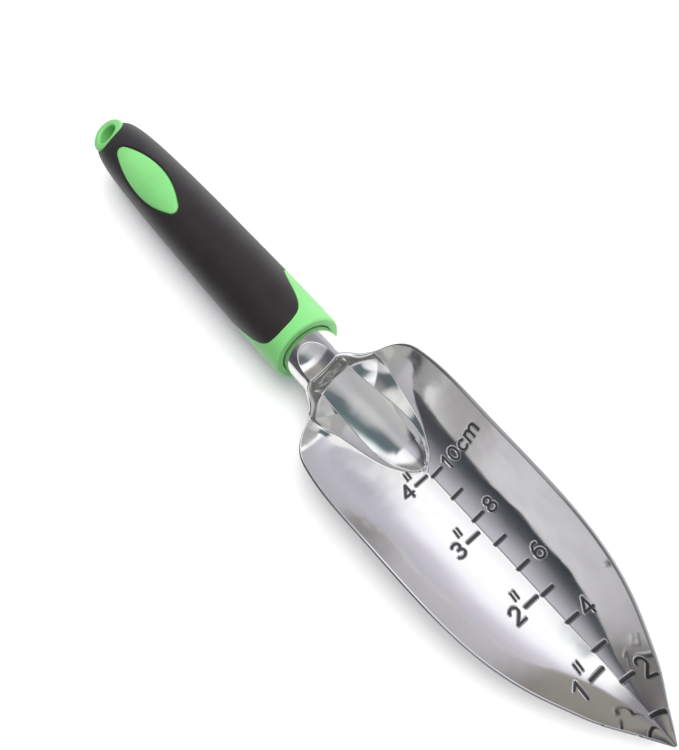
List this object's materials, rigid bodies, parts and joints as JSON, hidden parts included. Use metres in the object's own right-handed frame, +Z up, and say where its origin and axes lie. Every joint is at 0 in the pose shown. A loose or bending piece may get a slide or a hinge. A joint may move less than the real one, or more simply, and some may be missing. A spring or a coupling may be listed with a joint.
{
  "type": "hand trowel",
  "caption": "Hand trowel with a dished, pointed cast aluminium blade on a round neck, and a two-colour moulded handle with a thumb pad and a hanging eyelet.",
  "frame": {"origin": "under the middle of the trowel's length, on the surface it lies on", "axes": "+X along the trowel towards the blade's tip, +Y across the blade, +Z up out of the dish"},
  "size_m": [0.3236, 0.059, 0.03],
  "materials": {
    "cast_aluminium": "bright polished cast aluminium",
    "green_core": "satin moulded polypropylene",
    "black_grip": "matte soft-touch rubber",
    "green_pad": "satin soft-touch rubber",
    "green_eyelet": "satin moulded polypropylene"
  },
  "bodies": {
    "root": {"blade": "cast_aluminium", "handle_core": "green_core", "grip_sleeve": "black_grip", "thumb_pad": "green_pad", "hang_eyelet": "green_eyelet"}
  },
  "joints": []
}
